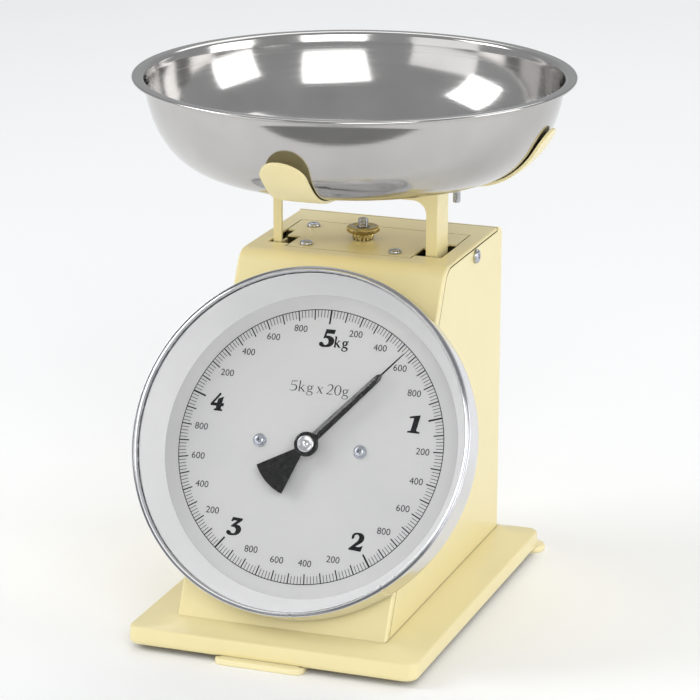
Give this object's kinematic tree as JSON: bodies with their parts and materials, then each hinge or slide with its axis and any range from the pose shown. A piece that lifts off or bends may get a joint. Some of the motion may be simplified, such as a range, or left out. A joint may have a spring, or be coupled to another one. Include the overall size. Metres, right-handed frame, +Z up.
{
  "type": "kitchen scale",
  "caption": "Spring-dial kitchen scale: sloping enamelled casing on a tray base, round chrome-rimmed dial with pointer, and a lift-off steel bowl held in a cradle.",
  "frame": {"origin": "bottom centre of the whole scale, on the table", "axes": "+X to the right of someone reading the dial, +Y away from them, +Z up"},
  "size_m": [0.22, 0.2334, 0.2707],
  "materials": {
    "enamel": "glossy pale yellow enamel",
    "foot_plastic": "semi-gloss moulded plastic",
    "zinc": "bright zinc plate",
    "bowl_steel": "polished stainless steel with fine spun marks",
    "chrome": "polished",
    "dial_paper": "satin light grey with printed black graduations",
    "dial_rim": "satin",
    "pointer_black": "satin black",
    "brass": "turned",
    "lens": "clear"
  },
  "bodies": {
    "casing": {"base_tray": "enamel", "front_foot": "foot_plastic", "rear_foot": "foot_plastic", "base_screws": "zinc", "front_cover": "enamel", "rear_cover": "enamel", "cover_screws": "zinc", "chassis_frame": "zinc", "top_crossbar": "zinc", "bridge_plate": "enamel", "bridge_screws": "zinc", "mechanism_frame": "brass", "shaft_bushes": "brass", "dial_housing": "zinc", "dial_face": "dial_paper", "dial_screws": "zinc", "dial_ring": "dial_rim", "lens": "lens", "bezel": "chrome"},
    "platform": {"rack": "zinc", "rack_arm": "zinc", "yoke": "enamel", "spring_anchor": "zinc", "link_pins": "zinc", "cradle": "enamel", "cradle_screws": "zinc"},
    "pointer": {"pointer_shaft": "zinc", "pinion": "brass", "pointer": "pointer_black", "pointer_cap": "chrome"},
    "upper_link": {"upper_link": "zinc"},
    "lower_link": {"lower_link": "zinc"},
    "zero_nut": {"zero_nut": "brass"},
    "hanger": {"adjuster_stud": "zinc", "spring_hanger": "zinc", "spring_left": "zinc", "spring_right": "zinc"},
    "bowl": {"bowl": "bowl_steel"}
  },
  "joints": [
    {"name": "platform_drop", "type": "slide", "parent": "casing", "child": "platform", "axis": [0, 0, -1], "range_m": [-0.00158, 0.01256], "stiffness_N_per_m": 3470, "springref_m": -0.00171, "deforming": ["spring_left", "spring_right"]},
    {"name": "pointer_spin", "type": "hinge", "parent": "casing", "child": "pointer", "pos_m": [0, -0.05631, 0.0962], "axis": [0, 0.8886, -0.4587], "range_deg": [-40.5, 319.9]},
    {"name": "upper_link_swing", "type": "hinge", "parent": "casing", "child": "upper_link", "pos_m": [0, 0.0659, 0.15], "axis": [1, 0, 0], "range_deg": [-1.9, 14.7]},
    {"name": "lower_link_swing", "type": "hinge", "parent": "casing", "child": "lower_link", "pos_m": [0, 0.0659, 0.05], "axis": [1, 0, 0], "range_deg": [-1.9, 14.7]},
    {"name": "nut_turn", "type": "hinge", "parent": "casing", "child": "zero_nut", "pos_m": [-0.003, 0.0289, 0.1804], "axis": [0, 0, 1], "range_deg": [-360, 360]},
    {"name": "stud_rise", "type": "slide", "parent": "casing", "child": "hanger", "axis": [0, 0, 1], "range_m": [-0.00081, 0.00081]},
    {"name": "bowl_lift", "type": "slide", "parent": "platform", "child": "bowl", "axis": [0, 0, 1], "range_m": [0, 0.06]}
  ],
  "couplings": [
    {"joint": "pointer_spin", "follows": "platform_drop", "rad_per_m": 444.31},
    {"joint": "upper_link_swing", "follows": "platform_drop", "rad_per_m": 20},
    {"joint": "lower_link_swing", "follows": "platform_drop", "rad_per_m": 20},
    {"joint": "stud_rise", "follows": "nut_turn", "m_per_rad": -0.00012732}
  ]
}
